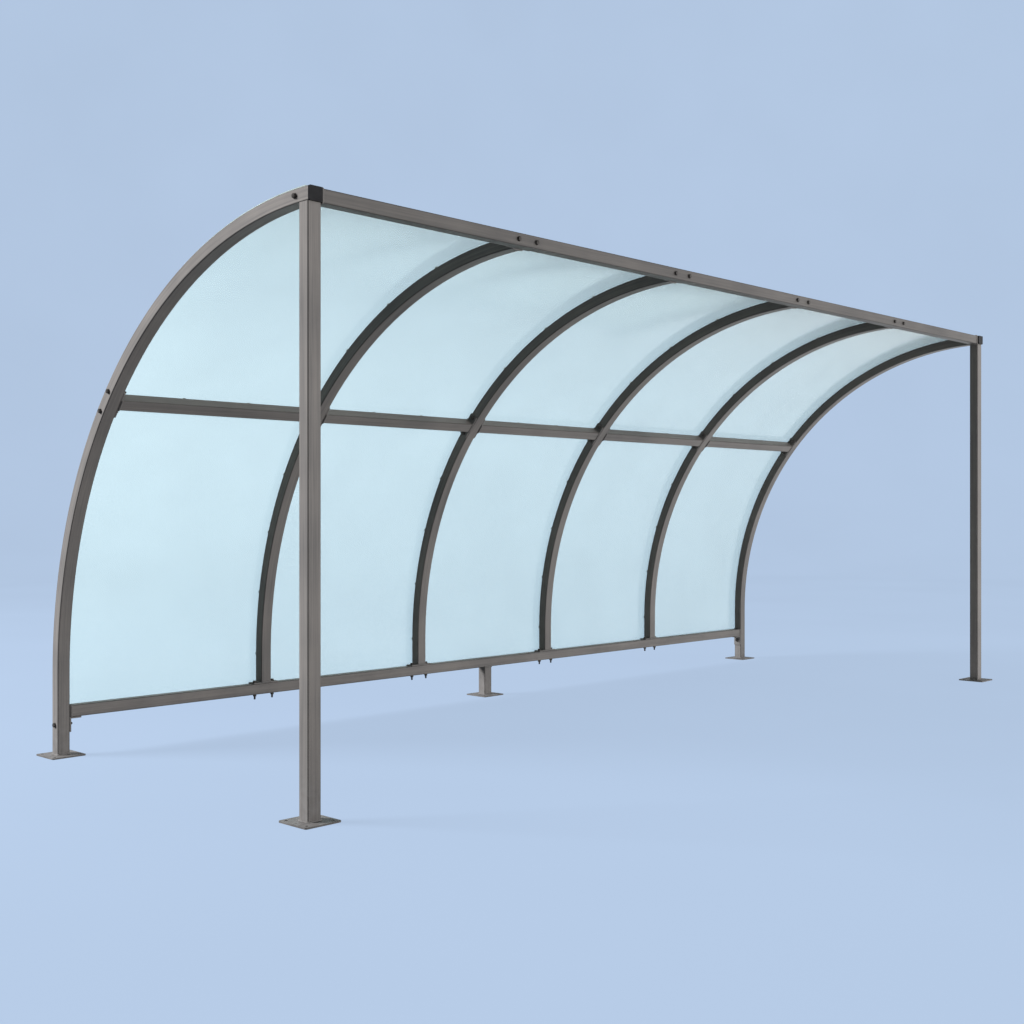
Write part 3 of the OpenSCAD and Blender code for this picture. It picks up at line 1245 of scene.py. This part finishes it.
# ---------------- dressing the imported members


@dataclass
class MemberFinishes:
    """Which finish each packed member takes.

    Args:
        nodes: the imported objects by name.
        effects: the shared node groups.
        plan: the shelter's places.
        base_plates: the plates that stand on the ground.
    """

    nodes: dict[str, Piece]
    effects: SharedEffects
    plan: ShelterPlan
    base_plates: tuple[str, ...] = (
        "left_post_plate", "right_post_plate", "left_rib_plate", "right_rib_plate", "centre_foot_plate")

    def dress(self) -> None:
        """Gives every packed member its finish."""
        tilt = self.plan.mid_angle
        tilted = (0.0, math.cos(tilt), math.sin(tilt))
        plain = {"line_tone": 0.12, "roughness": 0.47, "painted_corner_shade": 0.0}
        base = {"line_tone": 0.14, "roughness": 0.5, "painted_corner_shade": 0.0}
        back = (0.0, 1.0, 0.0)
        finishes = (
            PaintedSteel("painted_rail", Grain.ALONG_X, side=back),
            # The header's coat is the same paint made darker, 0.70 of the others: painted shade on the
            # header.
            PaintedSteel("header_coat_with_painted_shade", Grain.ALONG_X, scaled(COAT_COLOUR, 0.70), side=back),
            PaintedSteel("painted_middle_rail", Grain.ALONG_X, side=tilted),
            PaintedSteel("painted_post", Grain.UPRIGHT),
            PaintedSteel("painted_rib", Grain.CURVED),
            PaintedSteel("painted_plate", Grain.PLATE, **plain),
            # The base plates' coat is the same paint made darker, 0.72 of the others: painted shade that
            # holds down the light on their upper faces.
            PaintedSteel("base_plate_coat_with_painted_shade", Grain.PLATE, scaled(COAT_COLOUR, 0.72), **base),
            ClearSheet(),
            PlainFinish("black_cap_plastic", (0.006, 0.006, 0.007), 0.0, 0.42, 2600.0, 0.25, shine=0.2),
        )
        made = {finish.name: finish.material(self.effects) for finish in finishes}
        for name, node in self.nodes.items():
            material = made[self._finish_for(name)]
            for slot in node.material_slots:
                slot.material = material
            LOG.info("%s takes %s", name, material.name)

    def _finish_for(self, name: str) -> str:
        """The finish's name for a packed member.

        Args:
            name: the member's name.

        Returns:
            The name of its material.
        """
        if "sheet" in name:
            return "clear_tinted_sheet"
        if name.endswith("cap"):
            return "black_cap_plastic"
        if name in self.base_plates:
            return "base_plate_coat_with_painted_shade"
        if "plate" in name or "bracket" in name:
            return "painted_plate"
        if name.endswith("post") or name == "centre_foot":
            return "painted_post"
        if "rib" in name:
            return "painted_rib"
        if name == "header_beam":
            return "header_coat_with_painted_shade"
        return "painted_middle_rail" if name.startswith("mid_rail") else "painted_rail"


# ---------------- stage


@dataclass(frozen=True)
class Lamp:
    """One soft area lamp, which shows in no reflection and through no sheet.

    Args:
        name: the lamp's name.
        place: where it hangs.
        target: what it faces.
        size: its two sides.
        power: watts.
        colour: its light's colour.
    """

    name: str
    place: Point
    target: Point
    size: tuple[float, float]
    power: float
    colour: Colour

    def hang(self) -> None:
        """Puts the lamp in the scene, turned to face its target."""
        data = bpy.data.lights.new(self.name, "AREA")
        data.shape, (data.size, data.size_y) = "RECTANGLE", self.size
        data.energy, data.color = self.power, self.colour
        lamp = bpy.data.objects.new(self.name, data)
        lamp.location = self.place
        aim = Vector(self.target) - Vector(self.place)
        lamp.rotation_euler = aim.to_track_quat("-Z", "Y").to_euler()
        lamp.visible_camera = lamp.visible_glossy = lamp.visible_transmission = False
        bpy.context.scene.collection.objects.link(lamp)


@dataclass(frozen=True)
class Studio:
    """A seamless pale stage, soft lamps and the camera.

    The stage looks plain where it is seen straight or through a sheet. Rays that have bounced off
    something see it dimmer behind and brighter in front, as in a studio with its lights in front.

    Args:
        floor_radius: how far the level floor reaches.
        sweep: radius of the bend from floor to wall.
        wall: height of the wall above the bend.
        sides: how many points the stage has round it.
        tone: colour of the stage.
        glow: share of the tone that the stage gives off by itself.
        diffuse: share of the tone that it reflects.
        dim: what bounced rays see behind the shelter, on the left.
        behind_right: what they see behind it, on the right.
        bright: what they see in front of it.
        bright_right: what they see in front of it, far to the right.
        lamps: the key lamp from behind on the left, and a weaker one from the front right.
        sky: colour of the light from all round.
        sky_strength: its strength.
        lens: the camera's focal length in millimetres.
        eye: the camera's place, low at the left of the open side.
        turn: the camera's turn about X, Y and Z, in degrees.
    """

    floor_radius: float = 15.0
    sweep: float = 7.0
    wall: float = 9.0
    sides: int = 96
    tone: Colour = (0.490, 0.622, 0.825)
    glow: float = 0.872
    diffuse: float = 0.045
    dim: Colour = (0.16, 0.165, 0.17)
    behind_right: Colour = (0.68, 0.71, 0.74)
    bright: Colour = (1.35, 1.35, 1.35)
    bright_right: Colour = (0.95, 0.95, 0.95)
    lamps: tuple[Lamp, ...] = (
        Lamp("key_lamp", (-10.0, 7.0, 7.0), (-1.5, 0.0, 0.8), (5.0, 5.0), 6750.0, (0.98, 0.99, 1.0)),
        Lamp("fill_lamp", (5.5, -13.0, 1.2), (0.0, 0.0, 0.9), (7.0, 2.2), 1750.0, (1.0, 0.985, 0.965)),
    )
    sky: Colour = (0.95, 0.97, 1.0)
    sky_strength: float = 0.25
    lens: float = 45.746
    eye: Point = (-5.1695, -4.3177, 1.0248)
    turn: Point = (90.018, 0.0, -46.168)

    def build(self) -> None:
        """Builds the stage, the lamps, the surroundings and the camera."""
        self._stage()
        for lamp in self.lamps:
            lamp.hang()
        self._surroundings()
        self._camera()

    def _stage(self) -> None:
        """A round floor that bends up into a wall.

        Seen from the side it is a level line, then a quarter circle about a centre above the
        floor's rim, then an upright line. It is turned once about the Z axis.
        """
        bend = np.linspace(0, math.pi / 2, 25)[1:]
        level = np.linspace(0.5, self.floor_radius, 12)
        rim = self.floor_radius + self.sweep
        radius = np.concatenate([level, self.floor_radius + self.sweep * np.sin(bend), [rim]])
        height = np.concatenate([level * 0, self.sweep * (1 - np.cos(bend)), [self.sweep + self.wall]])
        around = np.arange(self.sides)
        angle = around / self.sides * FULL_TURN
        ring = np.stack([np.cos(angle), np.sin(angle), np.zeros(self.sides)], -1)
        grid = ring[None] * radius[:, None, None] + np.array([0, 0, 1.0]) * height[:, None, None]
        quads = grid_quads(len(radius), self.sides)[:, [0, 3, 2, 1]]
        points = np.concatenate([grid.reshape(-1, 3), np.zeros((1, 3))])
        tris = np.stack([np.full(self.sides, len(points) - 1), around, (around + 1) % self.sides], -1)
        Surface(points, quads, tris).to_object("stage_floor", self._stage_finish())

    def _stage_finish(self) -> Material:
        """Pale satin stage paint, very slightly uneven, that glows so that it stays even.

        Returns:
            The material.
        """
        material, graph, shader, place = new_material("stage_paint")
        cloud = graph.span(graph.noise(place, 0.35, 3.0), *MIDDLE_BAND)
        seen = graph.blend(cloud, shade(self.tone, 0.985), shade(self.tone, 1.015))
        rays = graph.add("LightPath").outputs
        depth = graph.math("ADD", rays["Glossy Depth"], rays["Diffuse Depth"])
        in_view = graph.math("LESS_THAN", graph.math("ADD", depth, rays["Is Diffuse Ray"]), 0.5)
        across, back, _ = graph.split(place)
        ahead = graph.math("MULTIPLY", back, -1.0)
        front = graph.span(ahead, -3.0, 2.5)
        not_left = graph.span(graph.math("ADD", across, ahead), 0.0, 7.0)
        slant = graph.math("DIVIDE", across, graph.math("MAXIMUM", ahead, 0.5))
        far_right = graph.span(slant, 0.4, 1.8)
        ahead_light = graph.blend(far_right, rgba(self.bright), rgba(self.bright_right))
        right = graph.span(across, -1.0, 4.0)
        back_light = graph.blend(right, rgba(self.dim), rgba(self.behind_right))
        lit = graph.blend(graph.math("MULTIPLY", front, not_left), back_light, ahead_light)
        own = graph.blend(1.0, seen, rgba((self.glow,) * 3), "MULTIPLY")
        graph.feed(shader, {
            "Base Color": graph.blend(1.0, seen, rgba((self.diffuse,) * 3), "MULTIPLY"),
            "Emission Color": graph.blend(in_view, lit, own),
            "Emission Strength": 1.0,
            "Roughness": graph.span(graph.noise(place, 2.0, 4.0, 0.6), *MIDDLE_BAND, 0.26, 0.32),
            "Specular IOR Level": 0.0,
        })
        material.cycles.emission_sampling = "NONE"
        return material

    def _surroundings(self) -> None:
        """Even pale light from above the stage."""
        world = bpy.data.worlds.new("studio")
        world.use_nodes = True
        background = world.node_tree.nodes["Background"]
        background.inputs[0].default_value = rgba(self.sky)
        background.inputs[1].default_value = self.sky_strength
        bpy.context.scene.world = world

    def _camera(self) -> None:
        """The camera, with a plain view of colours and no light focused through the sheets."""
        data = bpy.data.cameras.new("camera")
        data.lens, data.sensor_width = self.lens, 36.0
        camera = bpy.data.objects.new("camera", data)
        camera.location = self.eye
        camera.rotation_euler = [math.radians(angle) for angle in self.turn]
        scene = bpy.context.scene
        scene.collection.objects.link(camera)
        scene.camera = camera
        scene.view_settings.view_transform = "Standard"
        scene.cycles.caustics_refractive = scene.cycles.caustics_reflective = False


# ---------------- main


def main() -> None:
    """Loads the frame and builds every class in order."""
    logging.basicConfig(level=logging.INFO, format="%(name)s: %(message)s")
    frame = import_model()
    plan = ShelterPlan.from_frame()
    effects = SharedEffects(plan)
    MemberFinishes(frame["nodes"], effects, plan).dress()
    coat, fastener, rubber, zinc = (finish.material(effects) for finish in (
        PaintedSteel("painted_weld", Grain.PLATE, line_tone=0.10, painted_corner_shade=0.0),
        PlainFinish("dark_fastener_steel", (0.060, 0.055, 0.052), 0.6, 0.45, 1500.0, 0.2),
        PlainFinish("washer_rubber", (0.02, 0.02, 0.02), 0.0, 0.62, 1800.0, 0.3),
        PlainFinish("screw_steel", (0.42, 0.43, 0.44), 0.8, 0.38, 1400.0, 0.12),
    ))
    pieces = FrameBolts(plan).build(fastener)
    pieces += WeldBeads(plan).build(coat)
    pieces += SheetScrews(plan).build(zinc, rubber)
    for piece in pieces:
        LOG.info("%s: %d faces", piece.name, len(piece.data.polygons))
    Studio().build()


if __name__ == "__main__":
    main()
